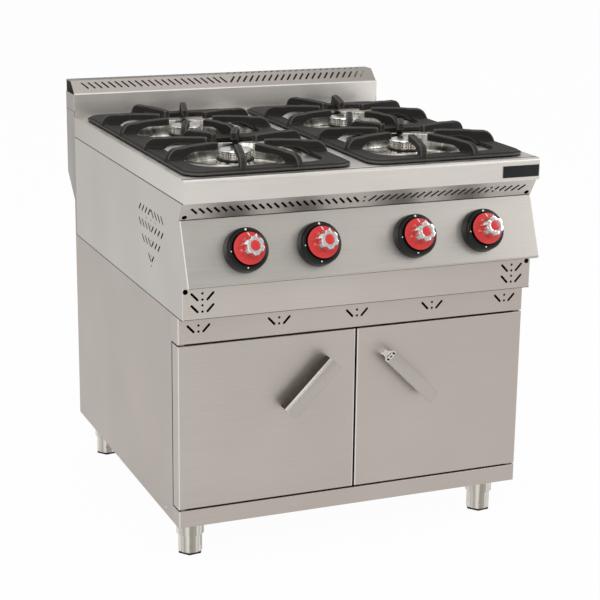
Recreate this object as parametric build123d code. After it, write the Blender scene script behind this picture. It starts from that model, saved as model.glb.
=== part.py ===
from build123d import *
from math import atan2, cos, degrees, hypot, radians, sin
import os

# A free-standing commercial gas stove: four open burners under two cast grates,
# a sloping control panel with four gas taps, and a cabinet with two doors below.
# X runs to the right, Y to the back and Z up. While the stove is built, Y = 0 is the
# front of the worktop lip; at the end everything moves so that the origin lies on the
# floor, under the middle of the stove's box.

# Overall sizes
width = 800
worktop_z = 840
worktop_depth = 835
cabinet_back_step = 13
cabinet_z = 87
hob_z = 548

# Sheet metal
sheet = 1.5
flange = 25
edge_bend = 2
front_bend = 7

# Front profile, from the lip down to the hob's lower edge
lip_height = 47
lip_return = 12
strip_start = 10
strip_run = 26
strip_drop = 40
panel_lean = 52
panel_drop = 130.5
panel_hem = 4
fascia_y = 22
front_flange_y = 48
cheek_back_y = 87

# Cabinet and doors
cabinet_flange = 18
cabinet_front_y = 48
side_front_y = 89
plinth_height = 38
rail_height = 58
door_depth = 36
door_gap_below = 3.5
door_gap_above = 3.5
door_gap_between = 4
pivot_inset = 12
pin_radius = 4
pin_reach = 12
pin_collar_radius = 8
channel_width = 60
floor_flange = 20

# Door handles, a hollow extrusion set at 45 degrees on each door
handle_length = 145
handle_height = 48
handle_face = 27.5
handle_foot = 17
handle_waist = 14
handle_waist_rise = 14
handle_edge = 16
handle_wall = 2.5
handle_groove = 1
handle_screw_radius = 2.7
handle_x = 115
handle_z = 378
handle_turn = 45

# Feet
foot_side_inset = 49
foot_front_y = 122
foot_rear_inset = 74
sleeve_radius = 30
sleeve_bottom_z = 45
leg_radius = 26
leg_top_z = 78
hex_sides = 6
hex_across_corners = 56
hex_height = 22
hex_straight = 13
hex_top_radius = 24
pad_height = 5

# Flue at the back
flue_depth = 74
flue_seam_rise = 14
flue_wall_rise = 54
cap_run = 33
cap_rise = 29
taper_start_rise = 86
taper_end_rise = 148

# Burners
front_burner_inset = 223
rear_burner_inset = 218
cap_radius = 37.5
cap_height = 4
cap_edge_drop = 2.5
cap_edge_run = 4
cap_spigot_depth = 5
head_radius = 35
head_bore = 24
head_skirt_bore = 22
head_height = 15
port_count = 20
port_width = 3
port_depth = 4
port_margin = 2
ring_radius = 41
ring_height = 4
burner_top_rise = 11.5
neck_radius = 30
neck_bore = 26
base_depth = 72
base_floor = 6
venturi_radius = 16
venturi_bore = 11
venturi_drop = 50
mouth_depth = 12
mouth_wall = 1.5
front_venturi_reach = 92
rear_venturi_reach = 120
spigot_depth = 6

# Pressed bowls under the burners
bowl_sheet = 1.2
bowl_flange_radius = 142
well_radius = 134
bowl_depth = 34
bowl_floor_radius = 114
cone_foot_radius = 52
cone_top_radius = 38
bowl_eye_radius = 32

# Cast grates
grate_gap = 35
grate_side_inset = 14.5
grate_front_y = 27
grate_back_inset = 34
grate_corner = 35
rim_width = 40
rim_height = 11
window_corner = 55
finger_top_rise = 35
finger_width = 13
finger_climb = 22
finger_knee_run = 8
finger_knee_rise = 14
finger_saddle_end = 46
finger_saddle_drop = 3
finger_crest = 70
finger_foot = 40
finger_hollow = 26
finger_tip_depth = 18
finger_arch = 2.5
front_finger_base = 62
front_finger_tip = 22
front_finger_reach = 72
side_finger_base = 78
side_finger_tip = 30
side_finger_reach = 54
finger_edge_inset = 8

# Gas taps and knobs
inner_knob_x = 109
outer_knob_x = 269
bezel_radius = 46.5
bezel_rim_radius = 44.5
bezel_height = 24
bezel_wall = 2.5
bezel_eye_radius = 12
bezel_bevel = 3
bezel_crown = 1.5
dial_radius = 33.5
dial_height = 4.2
dial_rise = 28.8
dial_bevel = 1
grip_radius = 19.5
grip_rise = 67
grip_flare = 3
flute_count = 6
flute_radius = 8
flute_centre = 24.5
hub_radius = 9
spindle_radius = 4
spindle_reach = 38
tap_radius = 13
tap_flange_radius = 18
tap_flange_height = 5
tap_hole_radius = 10
plug_radius = 8
plug_length = 20
plug_start = 30
plug_taper = 1
plug_floor = 6
outlet_depth = 45
outlet_radius = 7
outlet_rise = 24

# Gas pipes
manifold_radius = 13.5
manifold_wall = 2
manifold_depth = 75
manifold_end_inset = 80
nipple_radius = 5
nipple_length = 9
burner_pipe_radius = 5
pipe_bend = 12
front_pipe_reach = 129
rear_pipe_reach = 143
injector_radius = 7
injector_length = 14
injector_gap = 5
inlet_pipe_radius = 10.65
inlet_thread_radius = 10.48
inlet_bore = 8
inlet_thread_length = 28
inlet_thread_gap = 2
inlet_side_inset = 45
inlet_rise = 52
inlet_drop_inset = 55
inlet_bend = 22
bridge_width = 60
bridge_depth = 35

# Air slots in the strip under the lip, leaning away from the middle
strip_slot_first = 18.3
strip_slot_pitch = 16.05
strip_slot_length = 21
strip_slot_width = 5
strip_slot_lean = 44
strip_dot_radius = 2.5
strip_dot_rise = 6

# Round relief holes where the folds meet, at the corners of the strip and the fascia
relief_radius = 5.5
strip_relief_inset = 11
strip_relief_rise = 8
fascia_relief_inset = 8.5
fascia_relief_drop = 14

# Air slots in the flue hood, on its slope and on its top
hood_slot_first = 12.1
hood_slot_pitch = 16.9
hood_slot_length = 24
hood_slot_width = 4.5
hood_slot_lean = 38
hood_slot_rise = 5

# Small V-shaped vents in the lower fascia and the rail
v_top = 25
v_foot = 9
v_height = 17
v_slot_width = 5
v_dot_radius = 2.6
v_dot_rise = 6.5
v_side_inset = 45
v_upper_drop = 26
v_lower_drop = 51
v_rail_drop = 26

# Arrow-shaped group of slots in each hob side
vent_columns = (4, 4, 3, 1)
vent_centre_y = 223
vent_top_drop = 46.3
vent_pitch = 22
vent_row = 32.5
vent_slot_length = 23
vent_slot_width = 5
vent_lean = 47
vent_dot_radius = 2.2
vent_dot_rise = 5
vent_dot_spread = 31
vent_point_drop = 16.5

# Window between the hob and the flue
window_side = 60
window_sill = 32
window_height = 180

# Clearances
running_fit = 0.05
free_gap = 0.3
join = 1

# Heights and places that follow from the sizes above
half = width / 2
inner_half = half - sheet
cabinet_back_y = worktop_depth + cabinet_back_step
foot_x = half - foot_side_inset
foot_rear_y = cabinet_back_y - foot_rear_inset
grate_back_y = worktop_depth - grate_back_inset
burner_x = (grate_gap / 2 + half - grate_side_inset) / 2
front_burner_y = grate_front_y + front_burner_inset
rear_burner_y = grate_back_y - rear_burner_inset
inlet_x = half - inlet_side_inset
inlet_z = hob_z + inlet_rise
manifold_end_x = half - manifold_end_inset
v_side_x = half - v_side_inset
lip_z = worktop_z - lip_height
strip_end = strip_start + strip_run
strip_z = lip_z - strip_drop
panel_foot_y = strip_end - panel_lean
panel_z = strip_z - panel_drop
plinth_z = cabinet_z + plinth_height
rail_z = hob_z - rail_height
door_z = plinth_z + door_gap_below
door_height = rail_z - door_gap_above - door_z
door_width = half - door_gap_between / 2
flue_back_y = worktop_depth + flue_depth
flue_seam_z = worktop_z + flue_seam_rise
flue_wall_z = worktop_z + flue_wall_rise
burner_top_z = worktop_z + burner_top_rise
head_z = burner_top_z - cap_height - head_height
ring_z = head_z - ring_height
base_bottom_z = ring_z - base_depth
venturi_z = ring_z - venturi_drop
finger_top_z = worktop_z + finger_top_rise
rim_top_z = worktop_z + rim_height

panel_tilt = degrees(atan2(panel_lean, panel_drop))
panel_face = Plane(
    origin=(0, strip_end - panel_lean / 2, strip_z - panel_drop / 2),
    x_dir=(1, 0, 0),
    z_dir=(0, -cos(radians(panel_tilt)), sin(radians(panel_tilt))),
)
strip_slope = hypot(strip_run, strip_drop)
strip_face = Plane(
    origin=(0, strip_start + strip_run / 2, lip_z - strip_drop / 2),
    x_dir=(1, 0, 0),
    z_dir=(0, -strip_drop / strip_slope, -strip_run / strip_slope),
)
hood_slope_length = hypot(cap_run, cap_rise)
hood_slope = Plane(
    origin=(0, worktop_depth + cap_run / 2, flue_wall_z + cap_rise / 2),
    x_dir=(1, 0, 0),
    z_dir=(0, -cap_rise / hood_slope_length, cap_run / hood_slope_length),
)

knobs = {
    1: (-outer_knob_x, -burner_x, front_burner_y),
    2: (-inner_knob_x, -burner_x, rear_burner_y),
    3: (inner_knob_x, burner_x, rear_burner_y),
    4: (outer_knob_x, burner_x, front_burner_y),
}
burners = {
    "front_left": (-burner_x, front_burner_y),
    "rear_left": (-burner_x, rear_burner_y),
    "front_right": (burner_x, front_burner_y),
    "rear_right": (burner_x, rear_burner_y),
}
feet = {
    "front_left": (-foot_x, foot_front_y),
    "front_right": (foot_x, foot_front_y),
    "rear_left": (-foot_x, foot_rear_y),
    "rear_right": (foot_x, foot_rear_y),
}
nodes = {}


def block(x0, x1, y0, y1, z0, z1):
    """A block between two corners."""
    return Pos((x0 + x1) / 2, (y0 + y1) / 2, (z0 + z1) / 2) * Box(x1 - x0, y1 - y0, z1 - z0)


def across(outline, x0, x1):
    """An outline drawn in the side view, as (y, z), carried from x0 to x1."""
    return Pos(x0, 0, 0) * extrude(Plane.YZ * outline, x1 - x0)


def folded(points, bends, x0, x1):
    """A sheet folded along X: the points give its outer skin in the side view, with
    the metal on the right of the path, and the bends their outer radii."""
    path = FilletPolyline(*points, radius=bends) if any(bends) else Polyline(*points)
    skin = offset(path, amount=sheet, side=Side.RIGHT, kind=Kind.INTERSECTION)
    return across(make_face(skin), x0, x1)


def rod(radius, start, end):
    """A round bar from one point to another."""
    run = Vector(*end) - Vector(*start)
    return extrude(Plane(origin=start, z_dir=run) * Circle(radius), run.length)


def turned(points):
    """A body turned about Z from its half outline, as (radius, height)."""
    return revolve(Plane.XZ * make_face(Polyline(*points, close=True)), Axis.Z)


def mirrored(solid):
    """The left and right copies of a solid that is drawn on the right."""
    return {"right": solid, "left": mirror(solid, about=Plane.YZ)}


# Cabinet

def cabinet_side():
    """The right side: a tray with its flanges turned into the cabinet."""
    tray = block(half - cabinet_flange, half, side_front_y, cabinet_back_y, cabinet_z, hob_z)
    hollow = block(
        half - cabinet_flange, inner_half, side_front_y + sheet, cabinet_back_y - sheet,
        cabinet_z + sheet, hob_z - sheet,
    )
    return tray - hollow


def cabinet_back():
    back_y = cabinet_back_y - sheet
    return block(-inner_half, inner_half, back_y - sheet, back_y, cabinet_z + sheet, hob_z - sheet)


def cabinet_floor():
    front_y = side_front_y + sheet
    back_y = cabinet_back_y - 2 * sheet
    deck = block(-inner_half, inner_half, front_y, back_y, plinth_z - floor_flange, plinth_z)
    hollow = block(
        sheet - inner_half, inner_half - sheet, front_y + sheet, back_y - sheet,
        plinth_z - floor_flange, plinth_z - sheet,
    )
    return deck - hollow


def base_channels():
    """Two channels across the base, which carry the floor and the legs."""
    channels = []
    for centre_y in (foot_front_y, foot_rear_y):
        y0 = centre_y - channel_width / 2
        y1 = centre_y + channel_width / 2
        top_z = plinth_z - sheet
        bar = block(-inner_half + sheet, inner_half - sheet, y0, y1, cabinet_z + sheet, top_z)
        trough = block(-inner_half, inner_half, y0 + sheet, y1 - sheet, cabinet_z + 2 * sheet, top_z)
        channels.append(bar - trough)
    return Compound(channels)


def front_pan(low_z, high_z):
    """A cross panel under or over the doors: a tray that is open at the back."""
    tray = block(-half, half, cabinet_front_y, side_front_y, low_z, high_z)
    front_edges = tray.edges().group_by(Axis.Y)[0]
    tray = fillet(front_edges, edge_bend)
    return tray - block(
        -inner_half, inner_half, cabinet_front_y + sheet, side_front_y, low_z + sheet, high_z - sheet
    )


def pin_places():
    return [(side * (half - pivot_inset), cabinet_front_y + pivot_inset) for side in (-1, 1)]


def pin_holes(low_z, high_z):
    radius = pin_radius + running_fit
    return [rod(radius, (x, y, low_z), (x, y, high_z)) for x, y in pin_places()]


def door_skin():
    """The right door's outer tray, 36 mm deep, with pivot holes in its top and bottom."""
    x0 = half - door_width
    back_y = cabinet_front_y + door_depth
    top_z = door_z + door_height
    tray = block(x0, half, cabinet_front_y, back_y, door_z, top_z)
    tray = fillet(tray.edges().group_by(Axis.Y)[0], edge_bend)
    hollow = block(
        x0 + sheet, inner_half, cabinet_front_y + sheet, back_y, door_z + sheet, top_z - sheet
    )
    return tray - hollow - pin_holes(door_z - sheet, top_z + sheet)


def door_liner():
    """The flat inner sheet of the right door."""
    back_y = cabinet_front_y + door_depth - sheet
    return block(
        half - door_width + sheet, inner_half, back_y - sheet, back_y,
        door_z + sheet, door_z + door_height - sheet,
    )


def hinge_pins():
    """Four pivot pins. The doors ride on the collars of the lower two."""
    pins = []
    door_top = door_z + door_height
    for x, y in pin_places():
        low = rod(pin_radius, (x, y, plinth_z - pin_reach), (x, y, door_z + pin_reach))
        low += rod(pin_collar_radius, (x, y, plinth_z), (x, y, door_z - free_gap))
        high = rod(pin_radius, (x, y, door_top - pin_reach), (x, y, rail_z + pin_reach))
        high += rod(pin_collar_radius, (x, y, door_top + free_gap), (x, y, rail_z))
        pins += [low, high]
    return Compound(pins)


def door_handle():
    """The right handle: a hollow extrusion with waisted sides for the fingers, grooved
    edges and a screw hole in its end."""
    shoulder = handle_height - handle_edge
    middle = handle_height - handle_edge / 2
    side = handle_face / 2
    outline = Polyline(
        (side, shoulder), (side, middle - handle_groove), (side - handle_groove, middle),
        (side, middle + handle_groove), (side, handle_height), (0, handle_height),
    )
    outline += Line((0, 0), (handle_foot / 2, 0))
    outline += ThreePointArc(
        (handle_foot / 2, 0), (handle_waist / 2, handle_waist_rise), (side, shoulder)
    )
    outline += mirror(outline, about=Plane.YZ)
    profile = make_face(outline)
    profile -= Pos(0, middle) * Circle(handle_screw_radius)
    slot_height = handle_edge - 2 * handle_wall
    slot_x = side - 2 * handle_wall
    for x in (-slot_x, slot_x):
        profile -= Pos(x, middle) * Rectangle(handle_wall, slot_height)
    profile -= Pos(0, shoulder - handle_wall) * Rectangle(2 * slot_x - handle_wall, handle_wall)
    turn = radians(handle_turn)
    lie = Plane(
        origin=(handle_x, cabinet_front_y, handle_z),
        x_dir=(cos(turn), 0, sin(turn)), z_dir=(sin(turn), 0, -cos(turn)),
    )
    return extrude(lie * profile, handle_length / 2, both=True)


def foot_sleeves():
    """Four fixed sleeves under the base channels, each closed by a disc at its top."""
    sleeves = []
    top_z = cabinet_z + sheet
    for x, y in feet.values():
        sleeve = rod(sleeve_radius, (x, y, sleeve_bottom_z), (x, y, top_z))
        sleeve -= rod(leg_radius + free_gap, (x, y, sleeve_bottom_z), (x, y, top_z - 2 * sheet))
        sleeves.append(sleeve)
    return Compound(sleeves)


def levelling_foot(x, y):
    """A leg that screws out of its sleeve: a flared hexagon below, on a rubber pad."""
    leg = rod(leg_radius, (x, y, pad_height), (x, y, leg_top_z))
    corner = hex_across_corners / 2
    hexagon = RegularPolygon(corner, hex_sides)
    base = Pos(x, y, pad_height) * extrude(hexagon, hex_height)
    flare = Pos(x, y, pad_height) * turned([
        (0, 0), (corner, 0), (corner, hex_straight), (hex_top_radius, hex_height), (0, hex_height)
    ])
    pad = Pos(x, y, 0) * extrude(hexagon, pad_height)
    return Compound([leg + (base & flare), pad])


# Hob body

def hob_side():
    """The right hob side with its arrow-shaped group of cooling slots."""
    tray = block(half - flange, half, cheek_back_y, worktop_depth, hob_z, lip_z)
    hollow = block(
        half - flange, inner_half, cheek_back_y + sheet, worktop_depth - sheet,
        hob_z + sheet, lip_z - sheet,
    )
    return tray - hollow - side_vent()


def side_vent():
    """Rows of slanted slots that narrow to a point at the bottom, with dots between. The
    top row leans to the middle and the others lean away from it."""
    cuts = Sketch()
    slot = SlotOverall(vent_slot_length, vent_slot_width)
    dots = []
    for row, columns in enumerate(vent_columns):
        z = lip_z - vent_top_drop - (row + 0.5) * vent_row
        lean = -vent_lean if row else vent_lean
        for column in range(columns):
            step = (column + 0.5) * vent_pitch
            cuts += Pos(vent_centre_y + step, z) * Rot(0, 0, 90 + lean) * slot
            cuts += Pos(vent_centre_y - step, z) * Rot(0, 0, 90 - lean) * slot
        dots.append((0, z + vent_dot_rise))
    dots.append((0, z - vent_point_drop))
    between_z = lip_z - vent_top_drop - vent_row
    dots += [(y, between_z) for y in (-vent_dot_spread, 0, vent_dot_spread)]
    for y, z in dots:
        cuts += Pos(vent_centre_y + y, z) * Circle(vent_dot_radius)
    return across(cuts, inner_half - join, half + join)


def hob_pan():
    """The floor and back of the hob in one sheet, with a window to the flue and a
    hole for the gas pipe."""
    back_y = worktop_depth - sheet
    floor_z = hob_z + sheet
    pan = folded(
        [(back_y, lip_z - sheet), (back_y, floor_z), (cheek_back_y + sheet, floor_z)],
        [0], -inner_half, inner_half,
    )
    pan -= block(
        window_side - half, half - window_side, back_y - 2 * sheet, back_y + sheet,
        hob_z + window_sill, hob_z + window_sill + window_height,
    )
    return pan - pipe_hole(back_y - 2 * sheet, back_y + sheet)


def pipe_hole(y0, y1):
    return rod(inlet_pipe_radius + free_gap, (inlet_x, y0, inlet_z), (inlet_x, y1, inlet_z))


def front_cheek():
    """The right end plate of the front, cut to its side view."""
    outline = Polyline(
        (strip_start, lip_z), (strip_end, strip_z), (panel_foot_y, panel_z), (fascia_y, panel_z),
        (fascia_y, hob_z), (cheek_back_y, hob_z), (cheek_back_y, lip_z), close=True,
    )
    face = make_face(outline)
    toe = face.vertices().sort_by(Axis.X)[0]
    plate = across(fillet(toe, panel_hem), inner_half, half)
    back_flange = block(
        half - flange, inner_half, cheek_back_y - sheet, cheek_back_y, hob_z, lip_z
    )
    return plate + back_flange


def mirrored_slots(first, pitch, length, wide, lean):
    """A row of slanted slots, leaning one way left of the middle and the other way right."""
    row = Sketch()
    for step in range(int((inner_half - first) / pitch)):
        x = first + step * pitch
        row += Pos(x, 0) * Rot(0, 0, -lean) * Rectangle(wide, length)
        row += Pos(-x, 0) * Rot(0, 0, lean) * Rectangle(wide, length)
    return row


def vent_strip():
    """The sloping strip under the lip, with a row of air slots."""
    strip = folded(
        [(strip_end + floor_flange, strip_z), (strip_end, strip_z), (strip_start, lip_z),
         (strip_start + floor_flange, lip_z)],
        [0, 0], -inner_half, inner_half,
    )
    cuts = mirrored_slots(
        strip_slot_first, strip_slot_pitch, strip_slot_length, strip_slot_width, strip_slot_lean
    )
    for rise in (-strip_dot_rise, strip_dot_rise):
        cuts += Pos(0, rise) * Circle(strip_dot_radius)
    for x in (strip_relief_inset - half, half - strip_relief_inset):
        cuts += Pos(x, strip_relief_rise - strip_slope / 2) * Circle(relief_radius)
    holes = extrude(strip_face * cuts, 2 * sheet, both=True)
    return strip - holes


def control_panel():
    """The leaning panel, with a hemmed lower edge and a hole for each tap spindle."""
    panel = folded(
        [(cheek_back_y - 2 * flange, panel_z), (panel_foot_y, panel_z), (strip_end, strip_z),
         (strip_end + floor_flange, strip_z)],
        [panel_hem, edge_bend], -inner_half, inner_half,
    )
    holes = Sketch() + [Pos(x, 0) * Circle(tap_hole_radius) for x, _, _ in knobs.values()]
    return panel - extrude(panel_face * holes, 2 * sheet, both=True)


def v_vent(x, z):
    """Two slots in a V with two dots between them, seen from the front."""
    length = hypot(v_top - v_foot, v_height)
    lean = degrees(atan2(v_top - v_foot, v_height))
    slot = SlotOverall(length, v_slot_width)
    middle = (v_top + v_foot) / 2
    cuts = Pos(x + middle, z) * Rot(0, 0, 90 - lean) * slot
    cuts += Pos(x - middle, z) * Rot(0, 0, 90 + lean) * slot
    for rise in (-v_dot_rise, v_dot_rise):
        cuts += Pos(x, z + rise) * Circle(v_dot_radius)
    return cuts


def through_front(cuts, y):
    """Cuts drawn in the front view, taken through a sheet whose face is at y."""
    return Pos(0, y + 2 * sheet, 0) * extrude(Plane.XZ * cuts, 4 * sheet)


def lower_fascia():
    fascia = folded(
        [(cheek_back_y - sheet, hob_z), (fascia_y, hob_z), (fascia_y, panel_z),
         (front_flange_y, panel_z)],
        [edge_bend, 0], -inner_half, inner_half,
    )
    cuts = Sketch()
    for x in (-v_side_x, v_side_x):
        for drop in (v_upper_drop, v_lower_drop):
            cuts += v_vent(x, panel_z - drop)
    for x in (fascia_relief_inset - half, half - fascia_relief_inset):
        cuts += Pos(x, panel_z - fascia_relief_drop) * Circle(relief_radius)
    return fascia - through_front(cuts, fascia_y)


def front_rail():
    cuts = Sketch()
    for step in range(-2, 3):
        cuts += v_vent(step * v_side_x / 2, hob_z - v_rail_drop)
    rail = front_pan(rail_z, hob_z) - through_front(cuts, cabinet_front_y)
    return rail - pin_holes(rail_z - sheet, rail_z + 2 * sheet)


def worktop():
    """The pressed deck: rounded lip, side flanges and four wells for the bowls."""
    outer = Pos(worktop_depth / 2, worktop_z - lip_height / 2) * Rectangle(worktop_depth, lip_height)
    outer = fillet(outer.vertices().sort_by(Axis.X)[:2].sort_by(Axis.Y)[1], front_bend)
    inner_depth = worktop_depth - sheet
    inner_height = lip_height - 2 * sheet
    inner = Pos(sheet + inner_depth / 2, lip_z + sheet + inner_height / 2)
    inner = inner * Rectangle(inner_depth, inner_height)
    inner = fillet(inner.vertices().sort_by(Axis.X)[:2].sort_by(Axis.Y)[1], front_bend - sheet)
    deck = across(outer, -half, half) - across(inner, -inner_half, inner_half)
    deck -= block(-inner_half, inner_half, lip_return, worktop_depth, lip_z, lip_z + 2 * sheet)
    for x, y in burners.values():
        deck -= rod(well_radius, (x, y, worktop_z - 2 * sheet), (x, y, worktop_z + sheet))
    return deck


def burner_bridges():
    """Two inverted channels between the hob sides, which carry the burners."""
    bridges = []
    for y in (front_burner_y, rear_burner_y):
        y0 = y - bridge_width / 2
        y1 = y + bridge_width / 2
        low_z = base_bottom_z - bridge_depth
        bar = block(-inner_half, inner_half, y0, y1, low_z, base_bottom_z)
        trough = block(-inner_half, inner_half, y0 + sheet, y1 - sheet, low_z, base_bottom_z - sheet)
        bridges.append(bar - trough)
    return bridges


# Flue

def flue_duct():
    """The duct behind the hob: back and sides, open to the front and at the top."""
    bottom_z = hob_z
    outline = [
        (worktop_depth, bottom_z), (worktop_depth, flue_seam_z), (flue_back_y, flue_seam_z),
        (flue_back_y, hob_z + taper_end_rise), (cabinet_back_y, hob_z + taper_start_rise),
        (cabinet_back_y, bottom_z),
    ]
    body = across(make_face(Polyline(*outline, close=True)), -half, half)
    back = folded(outline[2:], [0, 0], -inner_half, inner_half)
    floor = block(
        -inner_half, inner_half, worktop_depth, cabinet_back_y - sheet, bottom_z, bottom_z + sheet
    )
    sides = body - block(
        -inner_half, inner_half, worktop_depth - join, flue_back_y + join, bottom_z - join,
        flue_seam_z + join,
    )
    duct = sides + back + floor
    return duct - pipe_hole(cabinet_back_y - 2 * sheet, cabinet_back_y + sheet)


def flue_hood():
    """One folded sheet: front wall, slotted slope, slotted top and back. Above the end
    plates it stays open at both ends."""
    top_z = flue_wall_z + cap_rise
    top_y = worktop_depth + cap_run
    hood = folded(
        [(worktop_depth, lip_z), (worktop_depth, flue_wall_z), (top_y, top_z),
         (flue_back_y, top_z), (flue_back_y, flue_seam_z)],
        [edge_bend, edge_bend, edge_bend], -inner_half, inner_half,
    )
    slots = mirrored_slots(
        hood_slot_first, hood_slot_pitch, hood_slot_length, hood_slot_width, hood_slot_lean
    )
    hood -= extrude(hood_slope * Pos(0, hood_slot_rise) * slots, 2 * sheet, both=True)
    middle_y = (top_y + flue_back_y) / 2
    return hood - Pos(0, middle_y, top_z - 2 * sheet) * extrude(slots, 4 * sheet)


def flue_end():
    """The right end plate of the hood, below its open end."""
    return block(inner_half, half, worktop_depth, flue_back_y, flue_seam_z, flue_wall_z)


# Burners and grates

def drip_bowl(x, y):
    """A pressed bowl that hangs by its flange and rises to a cone round the burner."""
    top = worktop_z + bowl_sheet
    floor = top - bowl_depth
    path = FilletPolyline(
        (bowl_flange_radius, top), (well_radius - 2, top), (bowl_floor_radius, floor),
        (cone_foot_radius, floor), (cone_top_radius, ring_z), (bowl_eye_radius, ring_z),
        radius=[2, 8, 8, 2],
    )
    wall = offset(path, amount=bowl_sheet, side=Side.LEFT, kind=Kind.INTERSECTION)
    return Pos(x, y, 0) * revolve(Plane.XZ * make_face(wall), Axis.Z)


def burner_base(x, y, reach):
    """The cast base: a ring on the bowl, a neck and a mixing tube towards the front."""
    body = turned([
        (0, base_bottom_z), (neck_radius, base_bottom_z), (neck_radius, ring_z),
        (ring_radius, ring_z), (ring_radius, head_z), (0, head_z),
    ])
    tube = rod(venturi_radius, (0, 0, venturi_z), (0, -reach, venturi_z))
    chamber = rod(neck_bore, (0, 0, base_bottom_z + base_floor), (0, 0, head_z))
    passage = rod(venturi_bore, (0, 0, venturi_z), (0, -reach, venturi_z))
    mouth = Plane(origin=(0, mouth_depth / 2 - reach, venturi_z), z_dir=(0, 1, 0))
    mouth = mouth * Cone(venturi_radius - mouth_wall, venturi_bore, mouth_depth)
    return Pos(x, y, 0) * (body + tube - chamber - passage - mouth)


def burner_head(x, y):
    """The lift-off ring with flame ports cut across its top edge."""
    top_z = head_z + head_height
    skirt = neck_bore - free_gap
    ring = turned([
        (head_skirt_bore, head_z - spigot_depth), (skirt, head_z - spigot_depth), (skirt, head_z),
        (head_radius, head_z), (head_radius, top_z), (head_bore, top_z), (head_bore, head_z),
        (head_skirt_bore, head_z),
    ])
    ports = Sketch()
    reach = head_radius - head_bore + 2 * port_margin
    for step in range(port_count):
        port = Pos((head_bore + head_radius) / 2, 0) * Rectangle(reach, port_width)
        ports += Rot(0, 0, 360 * step / port_count) * port
    cut = Pos(0, 0, top_z - port_depth) * extrude(ports, port_depth + join)
    return Pos(x, y, 0) * (ring - cut)


def burner_cap(x, y):
    """The polished lid, with a short spigot that centres it in the head."""
    low = burner_top_z - cap_height
    spigot = head_bore - free_gap
    return Pos(x, y, 0) * turned([
        (0, low - cap_spigot_depth), (spigot, low - cap_spigot_depth), (spigot, low),
        (cap_radius, low), (cap_radius, burner_top_z - cap_edge_drop),
        (cap_radius - cap_edge_run, burner_top_z), (0, burner_top_z),
    ])


def finger(base, tip):
    """One upright blade from the rim to near the burner: it climbs from the rim, rises
    over a low saddle to the flat pan rest and ends square, with an arched lower edge."""
    length = hypot(tip[0] - base[0], tip[1] - base[1])
    low = finger_top_z - finger_tip_depth
    root = worktop_z + rim_height / 3
    saddle_z = finger_top_z - finger_saddle_drop
    outline = Polyline(
        (finger_foot, root), (0, root), (0, rim_top_z), (finger_knee_run, rim_top_z + finger_knee_rise),
        (finger_climb, saddle_z), (finger_saddle_end, saddle_z), (finger_crest, finger_top_z),
        (length, finger_top_z), (length, low),
    )
    hollow = finger_foot + finger_hollow
    flat = Line((length, low), (hollow, low + finger_arch))
    arch = TangentArc((hollow, low + finger_arch), (finger_foot, root), tangent=(hollow - length, finger_arch))
    blade = extrude(Plane.XZ * make_face(outline + flat + arch), finger_width / 2, both=True)
    turn = degrees(atan2(tip[1] - base[1], tip[0] - base[0]))
    return Pos(base[0], base[1], 0) * Rot(0, 0, turn) * blade


def grate():
    """The right grate: a flat rim with two windows and eight fingers at each burner."""
    x0 = grate_gap / 2
    x1 = half - grate_side_inset
    centre_x = (x0 + x1) / 2
    centre_y = (grate_front_y + grate_back_y) / 2
    length = grate_back_y - grate_front_y
    frame = Pos(centre_x, centre_y) * RectangleRounded(x1 - x0, length, grate_corner)
    window_length = (length - 3 * rim_width) / 2
    for side in (-1, 1):
        place = Pos(centre_x, centre_y + side * (window_length + rim_width) / 2)
        frame -= place * RectangleRounded(x1 - x0 - 2 * rim_width, window_length, window_corner)
    body = Pos(0, 0, worktop_z) * extrude(frame, rim_height)

    edge = finger_edge_inset
    for burner_y, front_y, back_y in (
        (front_burner_y, grate_front_y + edge, centre_y - edge / 2),
        (rear_burner_y, centre_y + edge / 2, grate_back_y - edge),
    ):
        for side in (-1, 1):
            near_x = centre_x + side * front_finger_base
            tip_x = centre_x + side * front_finger_tip
            body += finger((near_x, front_y), (tip_x, burner_y - front_finger_reach))
            body += finger((near_x, back_y), (tip_x, burner_y + front_finger_reach))
            for end_x, way in ((x0 + edge, -1), (x1 - edge, 1)):
                body += finger(
                    (end_x, burner_y + side * side_finger_base),
                    (centre_x + way * side_finger_reach, burner_y + side * side_finger_tip),
                )
    return body


# Gas taps and knobs, drawn about the panel's normal and then set on the panel

def on_panel(x, part):
    return panel_face * Pos(x, 0, 0) * part


def knob_bezel():
    """A black cup round the knob, hollow at the back."""
    crown = bezel_height + bezel_crown
    ceiling = bezel_height - bezel_wall
    return turned([
        (bezel_radius - bezel_wall, 0), (bezel_radius, 0), (bezel_rim_radius, bezel_height - bezel_bevel),
        (bezel_rim_radius - bezel_bevel, bezel_height), (dial_radius, crown), (bezel_eye_radius, crown),
        (bezel_eye_radius, ceiling), (bezel_rim_radius - bezel_wall - bezel_bevel, ceiling),
    ])


def knob_dial():
    """The red disc behind the grip, with a hole for the grip's hub."""
    low = dial_rise
    high = dial_rise + dial_height
    return turned([
        (hub_radius + running_fit, low), (dial_radius, low), (dial_radius, high - dial_bevel),
        (dial_radius - dial_bevel, high), (hub_radius + running_fit, high),
    ])


def knob_grip():
    """The six-pointed grip with its hub and the spindle staked into it."""
    low = dial_rise + dial_height
    star = Circle(grip_radius + grip_flare)
    for step in range(flute_count):
        angle = radians(360 / flute_count * step)
        place = Pos(flute_centre * cos(angle), flute_centre * sin(angle))
        star -= place * Circle(flute_radius)
    rise = grip_rise - low
    crown = Pos(0, 0, low) * extrude(star, rise, taper=degrees(atan2(grip_flare, rise)))
    hub = rod(hub_radius, (0, 0, dial_rise), (0, 0, low + join))
    spindle = rod(spindle_radius, (0, 0, -spindle_reach), (0, 0, low + join))
    return crown + hub + spindle


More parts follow.
